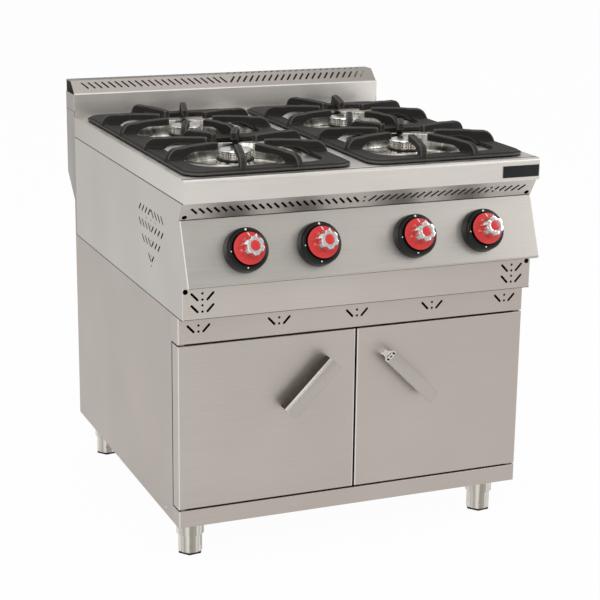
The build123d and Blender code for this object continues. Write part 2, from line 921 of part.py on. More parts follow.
def tap_plug():
    """The turning plug inside the tap. The spindle slides in its bore."""
    bottom = -plug_start - plug_length
    bore = spindle_radius + running_fit
    return turned([
        (0, bottom), (plug_radius - plug_taper, bottom), (plug_radius, -plug_start), (bore, -plug_start),
        (bore, bottom + plug_floor), (0, bottom + plug_floor),
    ])


def gas_tap():
    """The brass body on the manifold, with its outlet turned up the panel."""
    back = manifold_radius + free_gap - manifold_depth
    front = -sheet
    bore = plug_radius + running_fit + free_gap
    bottom = -plug_start - plug_length - free_gap
    body = turned([
        (0, back), (tap_radius, back), (tap_radius, front - tap_flange_height),
        (tap_flange_radius, front - tap_flange_height), (tap_flange_radius, front),
        (bore, front), (bore, bottom), (0, bottom),
    ])
    outlet = rod(outlet_radius, (0, bore + join, -outlet_depth), (0, outlet_rise, -outlet_depth))
    nipple = rod(nipple_radius, (0, 0, back - nipple_length), (0, 0, back + join))
    return body + outlet + nipple


def manifold():
    """The gas rail behind the panel, closed at its left end."""
    axis = panel_face * Pos(0, 0, -manifold_depth)
    y, z = axis.position.Y, axis.position.Z
    pipe = rod(manifold_radius, (-manifold_end_x, y, z), (manifold_end_x, y, z))
    bore = manifold_radius - manifold_wall
    pipe -= rod(bore, (-manifold_end_x + manifold_wall, y, z), (manifold_end_x, y, z))
    for x, _, _ in knobs.values():
        pipe -= on_panel(x, rod(nipple_radius + running_fit, (0, 0, -manifold_depth), (0, 0, 0)))
    return pipe


def gas_inlet():
    """The supply pipe from the manifold round to a threaded end behind the stove."""
    axis = panel_face * Pos(0, 0, -manifold_depth)
    y, z = axis.position.Y, axis.position.Z
    thread_y = cabinet_back_y + inlet_thread_gap
    drop_y = worktop_depth - inlet_drop_inset
    path = FilletPolyline(
        (manifold_end_x, y, z), (inlet_x, y, z), (inlet_x, drop_y, z), (inlet_x, drop_y, inlet_z),
        (inlet_x, thread_y, inlet_z), radius=inlet_bend,
    )
    ring = Circle(inlet_pipe_radius) - Circle(inlet_bore)
    pipe = sweep(Plane(origin=path @ 0, z_dir=path % 0) * ring, path=path)
    end_y = thread_y + inlet_thread_length
    thread = rod(inlet_thread_radius, (inlet_x, thread_y, inlet_z), (inlet_x, end_y, inlet_z))
    thread -= rod(inlet_bore, (inlet_x, thread_y, inlet_z), (inlet_x, end_y, inlet_z))
    return pipe + thread


def burner_pipe(knob_x, x, y):
    """The pipe from a tap to the injector at its burner's mixing tube."""
    start = (panel_face * Pos(knob_x, outlet_rise, -outlet_depth)).position
    lean = radians(panel_tilt)
    climb = (venturi_z - start.Z) / cos(lean)
    reach, turn_y = (
        (front_venturi_reach, y - front_pipe_reach) if y == front_burner_y
        else (rear_venturi_reach, y - rear_pipe_reach)
    )
    end_y = y - reach - injector_gap
    path = FilletPolyline(
        start, (knob_x, start.Y + climb * sin(lean), venturi_z), (knob_x, turn_y, venturi_z),
        (x, turn_y, venturi_z), (x, end_y, venturi_z), radius=pipe_bend,
    )
    pipe = sweep(Plane(origin=path @ 0, z_dir=path % 0) * Circle(burner_pipe_radius), path=path)
    return pipe + rod(injector_radius, (x, end_y - injector_length, venturi_z), (x, end_y, venturi_z))


def assemble():
    for side, solid in mirrored(cabinet_side()).items():
        nodes[f"cabinet_side_{side}"] = solid
    nodes["cabinet_back"] = cabinet_back()
    nodes["cabinet_floor"] = cabinet_floor()
    nodes["base_channels"] = base_channels()
    nodes["front_rail"] = front_rail()
    nodes["plinth"] = front_pan(cabinet_z, plinth_z) - pin_holes(plinth_z - 2 * sheet, plinth_z + 1)
    nodes["hinge_pins"] = hinge_pins()
    for side, solid in mirrored(door_skin()).items():
        nodes[f"door_skin_{side}"] = solid
    for side, solid in mirrored(door_liner()).items():
        nodes[f"door_liner_{side}"] = solid
    for side, solid in mirrored(door_handle()).items():
        nodes[f"door_handle_{side}"] = solid
    nodes["foot_sleeves"] = foot_sleeves()
    for place, (x, y) in feet.items():
        nodes[f"foot_{place}"] = levelling_foot(x, y)

    for side, solid in mirrored(hob_side()).items():
        nodes[f"hob_side_{side}"] = solid
    nodes["hob_frame"] = Compound([hob_pan(), *burner_bridges()])
    nodes["front_cheeks"] = Compound(list(mirrored(front_cheek()).values()))
    nodes["vent_strip"] = vent_strip()
    nodes["control_panel"] = control_panel()
    nodes["lower_fascia"] = lower_fascia()
    nodes["worktop"] = worktop()
    nodes["flue_duct"] = flue_duct()
    nodes["flue_hood"] = Compound([flue_hood(), *mirrored(flue_end()).values()])

    reaches = {front_burner_y: front_venturi_reach, rear_burner_y: rear_venturi_reach}
    nodes["burner_bases"] = Compound([burner_base(x, y, reaches[y]) for x, y in burners.values()])
    for place, (x, y) in burners.items():
        nodes[f"drip_bowl_{place}"] = drip_bowl(x, y)
        nodes[f"burner_head_{place}"] = burner_head(x, y)
        nodes[f"burner_cap_{place}"] = burner_cap(x, y)
    for side, solid in mirrored(grate()).items():
        nodes[f"grate_{side}"] = solid

    nodes["gas_line"] = Compound([manifold(), gas_inlet()])
    nodes["gas_taps"] = Compound([on_panel(x, gas_tap()) for x, _, _ in knobs.values()])
    nodes["burner_pipes"] = Compound([burner_pipe(*places) for places in knobs.values()])
    nodes["knob_bezels"] = Compound([on_panel(x, knob_bezel()) for x, _, _ in knobs.values()])
    for number, (x, _, _) in knobs.items():
        nodes[f"tap_plug_{number}"] = on_panel(x, tap_plug())
        nodes[f"knob_dial_{number}"] = on_panel(x, knob_dial())
        nodes[f"knob_grip_{number}"] = on_panel(x, knob_grip())


assemble()
box = Compound([solid for solid in nodes.values()]).bounding_box()
to_middle = Pos(0, -(box.min.Y + box.max.Y) / 2, 0)
os.makedirs("parts", exist_ok=True)
for name, solid in nodes.items():
    export_step(to_middle * solid, f"parts/{name}.step")
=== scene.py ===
from math import cos, pi, radians, sin

import bpy
from mathutils import Matrix, Vector


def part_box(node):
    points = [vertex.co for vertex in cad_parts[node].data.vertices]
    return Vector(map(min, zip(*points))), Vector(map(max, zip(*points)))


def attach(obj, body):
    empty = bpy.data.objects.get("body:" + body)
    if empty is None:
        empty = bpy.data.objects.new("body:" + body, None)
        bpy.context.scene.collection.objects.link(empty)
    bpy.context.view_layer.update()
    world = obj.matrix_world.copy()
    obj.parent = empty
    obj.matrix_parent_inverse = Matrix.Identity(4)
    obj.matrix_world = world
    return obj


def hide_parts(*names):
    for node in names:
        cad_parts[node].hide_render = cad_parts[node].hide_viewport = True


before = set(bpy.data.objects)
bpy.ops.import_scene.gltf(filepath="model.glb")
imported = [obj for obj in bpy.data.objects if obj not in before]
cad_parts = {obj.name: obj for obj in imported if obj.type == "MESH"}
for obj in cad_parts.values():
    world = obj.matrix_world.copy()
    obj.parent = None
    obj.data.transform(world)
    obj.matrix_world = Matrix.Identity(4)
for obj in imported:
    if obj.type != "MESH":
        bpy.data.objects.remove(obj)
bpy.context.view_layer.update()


# Camera
# A long lens from the stove's left, a little above it, as in the photograph. Its place, turn
# and lens were fitted to straight edges of the sheets.
camera_place = (-1.39880, -3.44801, 1.47326)
camera_heading, camera_dip, camera_roll = radians(22.4275), radians(15.3422), radians(0.6973)
camera_lens = 99.0046
bpy.ops.object.camera_add(location=camera_place)
camera = bpy.context.object
camera.rotation_euler = (
    Matrix.Rotation(-camera_heading, 3, "Z")
    @ Matrix.Rotation(pi / 2 - camera_dip, 3, "X")
    @ Matrix.Rotation(camera_roll, 3, "Z")
).to_euler()
camera.data.lens = camera_lens
bpy.context.scene.camera = camera
bpy.context.scene.view_settings.view_transform = "Standard"


# Studio
# A white paper floor that runs into a white background, and large soft lamps. Both are white
# for the camera and through glass, and a little uneven in reflections, as a real studio is.
def linear(code):
    """The linear colour of an sRGB hex value."""
    channels = [int(code[at:at + 2], 16) / 255 for at in (1, 3, 5)]
    return [c / 12.92 if c <= 0.04045 else ((c + 0.055) / 1.055) ** 2.4 for c in channels] + [1]


def add(tree, kind, inputs=None, **settings):
    """Adds a node. An input is a value, or the socket that feeds it."""
    node = tree.nodes.new(kind)
    for name, value in settings.items():
        setattr(node, name, value)
    for name, value in (inputs or {}).items():
        if isinstance(value, bpy.types.NodeSocket):
            tree.links.new(value, node.inputs[name])
        else:
            node.inputs[name].default_value = value
    return node


fill_light, dimmest_mirrored = 0.55, 0.35
world = bpy.data.worlds.new("studio")
bpy.context.scene.world = world
world.use_nodes = True
tree = world.node_tree
tree.nodes.clear()
rays = add(tree, "ShaderNodeLightPath").outputs
seen = add(tree, "ShaderNodeMath", {0: rays["Is Camera Ray"], 1: rays["Is Transmission Ray"]},
           operation="MAXIMUM")
plain = add(tree, "ShaderNodeMapRange", {0: seen.outputs[0], 3: fill_light, 4: 1.0})
way = add(tree, "ShaderNodeTexCoord").outputs["Generated"]
screens = add(tree, "ShaderNodeMapping", {"Vector": way, "Scale": (2.2, 2.2, 0.5)})
shade = add(tree, "ShaderNodeTexNoise", {"Vector": screens.outputs[0], "Scale": 1.0, "Detail": 2.0})
mirrored = add(tree, "ShaderNodeMapRange", {0: shade.outputs[0], 1: 0.38, 2: 0.62,
                                            3: dimmest_mirrored, 4: 1.0})
strength = add(tree, "ShaderNodeMix", {0: rays["Is Glossy Ray"], 2: plain.outputs[0],
                                       3: mirrored.outputs[0]})
background = add(tree, "ShaderNodeBackground", {"Color": linear("#FFFFFF"),
                                                "Strength": strength.outputs[0]})
add(tree, "ShaderNodeOutputWorld", {"Surface": background.outputs[0]})

floor_size, floor_seen, floor_mirrored = 60, 0.97, 0.7
bpy.ops.mesh.primitive_plane_add(size=floor_size)
floor = bpy.context.object
floor.name = "studio_floor"
# Matt white paper: it keeps the stove's soft shadow, and is white for the camera and a
# little darker in reflections.
paper = bpy.data.materials.new("white studio paper")
paper.use_nodes = True
tree = paper.node_tree
tree.nodes.clear()
matt = add(tree, "ShaderNodeBsdfDiffuse", {"Color": linear("#F2F1EF")})
white = add(tree, "ShaderNodeEmission", {"Color": linear("#FFFFFF"), "Strength": 1.0})
rays = add(tree, "ShaderNodeLightPath").outputs
seen = add(tree, "ShaderNodeMath", {0: rays["Is Camera Ray"], 1: rays["Is Transmission Ray"]},
           operation="MAXIMUM")
direct = add(tree, "ShaderNodeMath", {0: seen.outputs[0], 1: floor_seen}, operation="MULTIPLY")
reflected = add(tree, "ShaderNodeMath", {0: rays["Is Glossy Ray"], 1: floor_mirrored}, operation="MULTIPLY")
share = add(tree, "ShaderNodeMath", {0: direct.outputs[0], 1: reflected.outputs[0]}, operation="MAXIMUM")
blend = add(tree, "ShaderNodeMixShader", {0: share.outputs[0], 1: matt.outputs[0], 2: white.outputs[0]})
add(tree, "ShaderNodeOutputMaterial", {"Surface": blend.outputs[0]})
floor.data.materials.append(paper)

lamp_size, lamp_aim = 2.4, Vector((0, 0, 0.5))
for place, power in (((-2.6, -3.0, 3.0), 60), ((3.2, -2.4, 2.4), 34), ((0.2, 1.2, 3.6), 16)):
    bpy.ops.object.light_add(type="AREA", location=place)
    lamp = bpy.context.object
    lamp.data.size, lamp.data.energy = lamp_size, power
    lamp.rotation_euler = (lamp_aim - Vector(place)).to_track_quat("-Z", "Y").to_euler()


# Cabinet
# Side trays, floor, back, rail and plinth of stainless sheet, folded and spot-welded. The
# sheet comes from the mill with a fine satin grain, which runs along each panel.
def new_material(name):
    """An empty material and its node tree."""
    made = bpy.data.materials.new(name)
    made.use_nodes = True
    made.node_tree.nodes.clear()
    return made, made.node_tree


def satin_steel(name, light, dark, grain, rough=0.4, painted_fade=None, lines=(), spots=()):
    """Satin stainless steel: fine parallel scratches, drawn 1.2 mm apart because the real
    ones, a few tenths apart, are too fine to show, and broad soft differences in tone.
    painted_fade is painted light or shade that the sheet turns to: its colour, its axis, where it starts and
    ends, and its share at the end. A line is painted shade along a joint between sheets, or a painted
    highlight along a folded edge: its colour, and its middle and half width on each axis. A spot is a screw
    head flush with the sheet, or the painted shadow in the gap round one: its colour, middle and radius."""
    made, tree = new_material(name)
    place = add(tree, "ShaderNodeTexCoord").outputs["Object"]
    line = add(tree, "ShaderNodeMapping", {"Vector": place, "Scale": grain})
    scratch = add(tree, "ShaderNodeTexNoise", {"Vector": line.outputs[0], "Scale": 1.0, "Detail": 3.0})
    cloud = add(tree, "ShaderNodeTexNoise", {"Vector": place, "Scale": 3.5, "Detail": 2.0})
    both = add(tree, "ShaderNodeMath", {0: scratch.outputs[0], 1: cloud.outputs[0]}, operation="ADD")
    share = add(tree, "ShaderNodeMapRange", {0: both.outputs[0], 1: 0.7, 2: 1.3})
    tone = add(tree, "ShaderNodeMix", {0: share.outputs[0], 6: linear(dark), 7: linear(light)},
               data_type="RGBA")
    along = add(tree, "ShaderNodeSeparateXYZ", {0: place}).outputs
    if painted_fade:
        colour, axis, start, end, most = painted_fade
        far = add(tree, "ShaderNodeMapRange", {0: along[axis], 1: start, 2: end, 3: 0.0, 4: most})
        tone = add(tree, "ShaderNodeMix", {0: far.outputs[0], 6: tone.outputs[2], 7: linear(colour)},
                   data_type="RGBA")
    for colour, limits in lines:
        inside = 1.0
        for axis, (middle, half) in limits.items():
            near = add(tree, "ShaderNodeMath", {0: along[axis], 1: middle, 2: half}, operation="COMPARE")
            inside = add(tree, "ShaderNodeMath", {0: inside, 1: near.outputs[0]},
                         operation="MULTIPLY").outputs[0]
        tone = add(tree, "ShaderNodeMix", {0: inside, 6: tone.outputs[2], 7: linear(colour)},
                   data_type="RGBA")
    for colour, middle, radius in spots:
        gap = add(tree, "ShaderNodeVectorMath", {0: place, 1: middle}, operation="DISTANCE").outputs["Value"]
        inside = add(tree, "ShaderNodeMath", {0: gap, 1: radius}, operation="LESS_THAN").outputs[0]
        tone = add(tree, "ShaderNodeMix", {0: inside, 6: tone.outputs[2], 7: linear(colour)},
                   data_type="RGBA")
    roughness = add(tree, "ShaderNodeMapRange", {0: scratch.outputs[0], 1: 0.3, 2: 0.7,
                                                 3: rough - 0.05, 4: rough + 0.06})
    bump = add(tree, "ShaderNodeBump", {"Height": scratch.outputs[0], "Strength": 0.08, "Distance": 0.0004})
    steel = add(tree, "ShaderNodeBsdfPrincipled", {
        "Base Color": tone.outputs[2], "Metallic": 1.0, "Roughness": roughness.outputs[0],
        "Normal": bump.outputs[0],
    })
    add(tree, "ShaderNodeOutputMaterial", {"Surface": steel.outputs[0]})
    return made


def dress(finish, *names):
    """Gives CAD nodes a finish."""
    for name in names:
        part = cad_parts[name]
        if not part.material_slots:
            part.data.materials.append(finish)
        for slot in part.material_slots:
            slot.material = finish


grain_across, grain_deep = (12, 800, 800), (800, 12, 800)
lip_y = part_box("worktop")[0].y
front_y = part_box("front_rail")[0].y
front_skin = (front_y, 0.0012)
side_x, screw_shadow_radius, screw_head_radius = 0.4, 0.0042, 0.0034
# Each screw is drawn as a pale head inside a dark ring, and the ring is a painted shadow in the gap round the
# head.
screw_heads_and_shadows = []
for x in (-side_x, side_x):
    for y, z in ((0.493, 0.091), (0.138, 0.102), (0.138, 0.080)):
        middle = (x, lip_y + y, z)
        screw_heads_and_shadows += [("#4A4643", middle, screw_shadow_radius), ("#E9E6E2", middle, screw_head_radius)]
# Each part has its own copy of the satin steel, painted a lighter or darker tone for how much light falls on
# it.
side_steel = satin_steel("satin stainless steel, cabinet sides", "#C0B7B1", "#B4ACA6", grain_deep,
                         spots=screw_heads_and_shadows)
# Painted light on the rail and plinth: a painted highlight along the left folded edge of the front, and
# painted shade that darkens the sheet towards the right.
rail_steel = satin_steel("satin stainless steel, rail and plinth", "#C5BDB6", "#B9B1AA", grain_across,
                         painted_fade=("#B9B0A9", "X", -side_x, side_x, 0.6),
                         lines=[("#DCD8D3", {"X": (-0.399, 0.0022), "Y": front_skin})])
# Sheet as it comes from the mill: greyer and duller than the satin panels.
inner_steel = satin_steel("mill finish stainless steel", "#A29D98", "#8F8B87", grain_across, rough=0.5)
dress(side_steel, "cabinet_side_left", "cabinet_side_right")
dress(rail_steel, "front_rail", "plinth")
dress(inner_steel, "cabinet_back", "cabinet_floor", "base_channels", "hinge_pins")


# Doors
# Two doors of satin stainless sheet, each a folded outer tray with a flat liner spot-welded inside. Painted
# highlights run along the folded edges, and painted shade darkens the sheet towards the right.
door_edge_highlights = [("#E2DEDA", {"X": (x, 0.0013), "Y": front_skin}) for x in (-0.3988, -0.0034, 0.0034)]
# The doors' copy of the satin steel is painted its own tone for how much light falls on them.
door_steel = satin_steel("satin stainless steel, doors", "#C5BEB7", "#B9B2AB", grain_across,
                         painted_fade=("#BAAFA9", "X", -side_x, side_x, 0.6), lines=door_edge_highlights)
dress(door_steel, "door_skin_left", "door_skin_right")
dress(inner_steel, "door_liner_left", "door_liner_right")


# Hob box
# Sides, cheeks, worktop, panel, fascia and flue of satin stainless sheet, each folded from a flat blank after
# its slots are punched, and screwed together along seams that are painted dark for the shade in them.
seam_shade = "#2E2C2A"
# Each part of the hob box has its own copy of the satin steel, painted lighter or darker for how much light
# falls on it.
hob_steel = satin_steel("satin stainless steel, hob sides", "#CCC7C2", "#BFBAB5", grain_deep,
                        lines=[(seam_shade, {"Z": (0.5490, 0.0015)}), (seam_shade, {"Z": (0.7920, 0.0015)})])
# Painted light on the worktop: painted shade that darkens it towards the back, and just behind the lip a
# painted shade line and a painted highlight line that stand in for a small pressed step.
top_steel = satin_steel("satin stainless steel, worktop", "#E3DED8", "#D6D1CB", grain_across,
                        painted_fade=("#B7B2AC", "Y", lip_y, 0.41, 0.8),
                        lines=[("#4F4B47", {"Y": (lip_y + 0.0165, 0.0030), "Z": (0.845, 0.0055)}),
                               ("#F2F0EC", {"Y": (lip_y + 0.0225, 0.0030), "Z": (0.845, 0.0055)})])
# A dark line along the top of the vent strip is painted shade under the lip.
strip_steel = satin_steel("satin stainless steel, vent strip", "#DCD7D1", "#C8C2BC", grain_across, rough=0.5,
                          lines=[("#5E5A56", {"Z": (0.7537, 0.0008)})])
# A dark line along the foot of the control panel is painted shadow, and a bright line along its left edge is a
# painted highlight.
panel_steel = satin_steel("satin stainless steel, control panel", "#C1BCB6", "#B5B0AA", grain_across,
                          lines=[("#6A655F", {"Z": (0.6231, 0.0009)}), ("#F2F0EC", {"X": (-0.3972, 0.0016)})])
# Painted light on the lower fascia: a dark line along its foot is painted shade in the gap to the rail, a
# bright line along its left edge is a painted highlight, and painted shade darkens it towards the right.
fascia_steel = satin_steel("satin stainless steel, lower fascia", "#CFC8C1", "#C3BCB5", grain_across,
                           painted_fade=("#B5ABA5", "X", -side_x, side_x, 0.6),
                           lines=[("#6E6964", {"Z": (0.5488, 0.0010)}),
                                  ("#DAD6D1", {"X": (-0.3975, 0.0012)})])
# Two dark lines across the flue duct are painted shade: one at the joint low down, the other near the height
# of the worktop.
duct_steel = satin_steel("satin stainless steel, flue duct", "#B5AFA9", "#8F8A85", (14, 14, 0.7),
                         lines=[(seam_shade, {"Z": (0.5486, 0.0009)}), ("#55514D", {"Z": (0.8535, 0.0009)})])
# The flue hood turns near white towards its front edge, which is a painted highlight.
hood_steel = satin_steel("satin stainless steel, flue hood", "#AFA8A2", "#A29B95", grain_across,
                         painted_fade=("#FAF5F0", "Y", 0.4135, 0.4108, 0.75))
# The same mill finish sheet, painted darker as the shade inside the hob.
shaded_steel = satin_steel("mill finish stainless steel, inside the hob", "#6E6A66", "#5C5855",
                           grain_across, rough=0.55)
dress(hob_steel, "hob_side_left", "hob_side_right", "front_cheeks")
dress(top_steel, "worktop")
dress(strip_steel, "vent_strip")
dress(panel_steel, "control_panel")
dress(fascia_steel, "lower_fascia")
dress(duct_steel, "flue_duct")
dress(hood_steel, "flue_hood")
dress(shaded_steel, "hob_frame")


# Feet
# Four levelling feet: a fixed sleeve, a leg that screws out of it and ends in a hexagon
# for the spanner, both of polished stainless tube, and a moulded black rubber pad.
def outline(name, points, closed=True):
    """Draws an outline by extruding one vertex from point to point. It stays in edit mode."""
    bpy.ops.object.select_all(action="DESELECT")
    bpy.ops.mesh.primitive_plane_add(size=0.01)
    piece = bpy.context.object
    piece.name = name
    bpy.ops.object.mode_set(mode="EDIT")
    bpy.ops.mesh.select_all(action="SELECT")
    bpy.ops.mesh.merge(type="CENTER")
    bpy.ops.transform.translate(value=points[0])
    path = points[1:] + points[:1] if closed else points[1:]
    for here, there in zip(points, path):
        step = Vector(there) - Vector(here)
        bpy.ops.mesh.extrude_vertices_move(TRANSFORM_OT_translate={"value": step})
    bpy.ops.mesh.select_all(action="SELECT")
    bpy.ops.mesh.remove_doubles(threshold=1e-6)
    return piece


def turned(name, profile, steps=72, closed=True):
    """A body spun about Z from a profile of (radius, height) points."""
    piece = outline(name, [(radius, 0, height) for radius, height in profile], closed)
    bpy.ops.mesh.spin(steps=steps, angle=2 * pi, center=(0, 0, 0), axis=(0, 0, 1))
    bpy.ops.mesh.select_all(action="SELECT")
    bpy.ops.mesh.remove_doubles(threshold=5e-6)
    bpy.ops.mesh.normals_make_consistent(inside=False)
    bpy.ops.object.mode_set(mode="OBJECT")
    return piece


def rectangle(x0, x1, y0, y1):
    """The four corners of a rectangle."""
    return [(x0, y0), (x1, y0), (x1, y1), (x0, y1)]


def rod(name, radius, low, high, steps=72):
    """A round bar that stands on Z."""
    return turned(name, rectangle(0, radius, low, high), steps, closed=False)


def choose(*pieces):
    """Selects these pieces alone. The first is the active one."""
    bpy.ops.object.select_all(action="DESELECT")
    for piece in pieces:
        piece.select_set(True)
    bpy.context.view_layer.objects.active = pieces[0]


def apply(piece, kind, **settings):
    """Puts a modifier on a piece and applies it."""
    choose(piece)
    modifier = piece.modifiers.new(kind.lower(), kind)
    for name, value in settings.items():
        setattr(modifier, name, value)
    bpy.ops.object.modifier_apply(modifier=modifier.name)


def soften(piece, width, segments=3, angle=35):
    """Rounds the sharp edges and shades the rest smooth."""
    apply(piece, "BEVEL", width=width, segments=segments, limit_method="ANGLE", angle_limit=radians(angle))
    bpy.ops.object.shade_smooth_by_angle(angle=radians(angle))


def carve(piece, *cutters, operation="DIFFERENCE"):
    """Cuts the cutters out of a piece, or joins them to it, and removes them."""
    for cutter in cutters:
        apply(piece, "BOOLEAN", object=cutter, operation=operation, solver="EXACT")
        bpy.data.objects.remove(cutter)


def stand(piece, place, turn=(0, 0, 0)):
    """Sets a piece in its place, and takes that into its mesh."""
    choose(piece)
    piece.location, piece.rotation_euler = place, turn
    bpy.ops.object.transform_apply(location=True, rotation=True, scale=True)


def copy_of(piece, name):
    """A copy with its own mesh."""
    choose(piece)
    bpy.ops.object.duplicate(linked=False)
    bpy.context.object.name = name
    return bpy.context.object


def fitted(piece, finish, body, slot, *nodes):
    """The piece's finish, the body that it rides on, and the nodes it stands for; the slot is not used."""
    if not piece.data.materials:
        piece.data.materials.append(finish)
    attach(piece, body)
    if nodes:
        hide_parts(*nodes)


def placed(pattern, name, place, turn, *fit):
    """A copy of a pattern, set in its place and fitted."""
    piece = copy_of(pattern, name)
    stand(piece, place, turn)
    fitted(piece, *fit)


def polished_steel(name, light, dark, centre, rough):
    """Polished stainless steel, turned about an upright axis at the centre: rings left by the buffing wheel,
    drawn 1.5 mm apart so that they show, and bright and dark streaks that run from the axis outwards, which
    are painted reflections of the surroundings."""
    made, tree = new_material(name)
    place = add(tree, "ShaderNodeTexCoord").outputs["Object"]
    about = add(tree, "ShaderNodeMapping", {"Vector": place, "Location": (-centre[0], -centre[1], 0)})
    ring = add(tree, "ShaderNodeTexWave", {"Vector": about.outputs[0], "Scale": 110.0, "Distortion": 1.5,
                                           "Detail": 2.0, "Detail Scale": 0.3},
               wave_type="RINGS", rings_direction="Z")
    flat = add(tree, "ShaderNodeMapping", {"Vector": about.outputs[0], "Scale": (1, 1, 0)})
    spoke = add(tree, "ShaderNodeVectorMath", {0: flat.outputs[0]}, operation="NORMALIZE")
    painted_reflection_streak = add(tree, "ShaderNodeTexNoise", {"Vector": spoke.outputs[0], "Scale": 2.4, "Detail": 3.0})
    share = add(tree, "ShaderNodeMapRange", {0: painted_reflection_streak.outputs[0], 1: 0.42, 2: 0.58})
    tone = add(tree, "ShaderNodeMix", {0: share.outputs[0], 6: linear(dark), 7: linear(light)},
               data_type="RGBA")
    roughness = add(tree, "ShaderNodeMapRange", {0: ring.outputs[1], 3: rough - 0.03, 4: rough + 0.05})
    bump = add(tree, "ShaderNodeBump", {"Height": ring.outputs[1], "Strength": 0.05, "Distance": 0.0003})
    steel = add(tree, "ShaderNodeBsdfPrincipled", {
        "Base Color": tone.outputs[2], "Metallic": 1.0, "Roughness": roughness.outputs[0],
        "Normal": bump.outputs[0],
    })
    add(tree, "ShaderNodeOutputMaterial", {"Surface": steel.outputs[0]})
    return made


def moulded(name, light, dark, rough, grain=400.0, bumpy=0.1, coat=0.0, level=0.5):
    """A moulded or printed surface: an even colour with a faint cloud in it and a fine
    grain from the mould, 2.5 mm apart at the usual scale."""
    made, tree = new_material(name)
    place = add(tree, "ShaderNodeTexCoord").outputs["Object"]
    cloud = add(tree, "ShaderNodeTexNoise", {"Vector": place, "Scale": 45.0, "Detail": 2.0})
    fine = add(tree, "ShaderNodeTexNoise", {"Vector": place, "Scale": grain, "Detail": 2.0})
    tone = add(tree, "ShaderNodeMix", {0: cloud.outputs[0], 6: linear(dark), 7: linear(light)},
               data_type="RGBA")
    roughness = add(tree, "ShaderNodeMapRange", {0: fine.outputs[0], 3: rough * 0.85, 4: rough * 1.15})
    bump = add(tree, "ShaderNodeBump", {"Height": fine.outputs[0], "Strength": bumpy, "Distance": 0.0003})
    body = add(tree, "ShaderNodeBsdfPrincipled", {
        "Base Color": tone.outputs[2], "Roughness": roughness.outputs[0], "Normal": bump.outputs[0],
        "Coat Weight": coat, "Coat Roughness": 0.05, "Specular IOR Level": level,
    })
    add(tree, "ShaderNodeOutputMaterial", {"Surface": body.outputs[0]})
    return made


def box_centre(node):
    """The middle of a CAD node's box."""
    low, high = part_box(node)
    return (low + high) / 2


# Black rubber: dull and almost black, with a fine grain from the mould.
rubber = moulded("moulded black rubber", "#1C1B1A", "#121111", 0.7, grain=900.0)
sleeve_bore, sleeve_radius, sleeve_low, sleeve_top = 0.0263, 0.030, 0.045, 0.0885
leg_foot, leg_top, leg_radius, hexagon_radius = 0.005, 0.078, 0.026, 0.028
upright, spanner_turn = (0, 0, 0), (0, 0, radians(8))
foot_sleeve = turned("foot_sleeve", rectangle(sleeve_bore, sleeve_radius, sleeve_low, sleeve_top))
soften(foot_sleeve, 0.0008)
foot_leg = rod("foot_leg", leg_radius, leg_foot, leg_top)
hexagon = turned("hexagon", [
    (0, leg_foot), (hexagon_radius, leg_foot), (hexagon_radius, 0.018), (0.024, 0.027), (0, 0.027),
], steps=6, closed=False)
carve(foot_leg, hexagon, operation="UNION")
soften(foot_leg, 0.0007, angle=25)
foot_pad = rod("foot_pad", hexagon_radius, 0, leg_foot, steps=6)
soften(foot_pad, 0.0009)
for place in ("front_left", "front_right", "rear_left", "rear_right"):
    body = f"foot_{place}"
    centre = box_centre(body)
    here = (centre.x, centre.y, 0)
    tube = polished_steel(f"polished stainless tube, {place} foot", "#E4E1DA", "#A09B92", here, 0.14)
    placed(foot_sleeve, f"foot_sleeve_{place}", here, upright, tube, "chassis", "polished_steel",
           "foot_sleeves")
    placed(foot_leg, f"foot_leg_{place}", here, spanner_turn, tube, body, "polished_steel", body)
    placed(foot_pad, f"foot_pad_{place}", here, spanner_turn, rubber, body, "polished_steel")
for pattern in (foot_sleeve, foot_leg, foot_pad):
    bpy.data.objects.remove(pattern)


# Door handles
# One hollow aluminium extrusion on each door, sawn square at both ends: a flat face over a waisted neck for
# the fingers, satin anodised. The necks are painted dark as shade, the chambers black as shadow, and the sawn
# ends and the side edges of the face near white, partly bare metal and partly a painted highlight.
def extruded(piece, rise, corner=0.0):
    """Fills an outline, rounds its corners and extrudes it by the rise. It ends in object mode."""
    bpy.ops.mesh.edge_face_add()
    if corner:
        bpy.ops.mesh.bevel(offset=corner, segments=10, affect="VERTICES")
        bpy.ops.mesh.select_all(action="SELECT")
    bpy.ops.mesh.extrude_region_move(TRANSFORM_OT_translate={"value": rise})
    bpy.ops.mesh.select_all(action="SELECT")
    bpy.ops.mesh.normals_make_consistent(inside=False)
    bpy.ops.object.mode_set(mode="OBJECT")
    return piece


def pressed(name, points, thickness):
    """A plate of one outline, lying flat."""
    return extruded(outline(name, [(x, y, 0) for x, y in points]), (0, 0, thickness))


handle_half, handle_x, handle_low, handle_lean = 0.0725, 0.115, 0.378, pi / 4
handle_profile = [
    (0.0085, 0.0), (0.0075, 0.004), (0.0070, 0.009), (0.0070, 0.014), (0.0078, 0.020), (0.0100, 0.0265),
    (0.01375, 0.032), (0.01375, 0.0385), (0.0128, 0.0395), (0.0128, 0.0405), (0.01375, 0.0415),
    (0.01375, 0.048),
]
handle_profile += [(-x, y) for x, y in reversed(handle_profile)]
handle_bar = pressed("door_handle_bar", handle_profile, 2 * handle_half)
stand(handle_bar, (0, 0, -handle_half))
cutter_half = 0.08
cutters = []
for x, y, wide, high in (
    (-0.0088, 0.040, 0.0036, 0.011), (0.0088, 0.040, 0.0036, 0.011), (0, 0.0295, 0.015, 0.0025),
):
    chamber = rectangle(x - wide / 2, x + wide / 2, y - high / 2, y + high / 2)
    cutter = pressed("chamber", chamber, 2 * cutter_half)
    stand(cutter, (0, 0, -cutter_half))
    cutters.append(cutter)
cutters.append(rod("screw_hole", 0.0030, -cutter_half, cutter_half, steps=24))
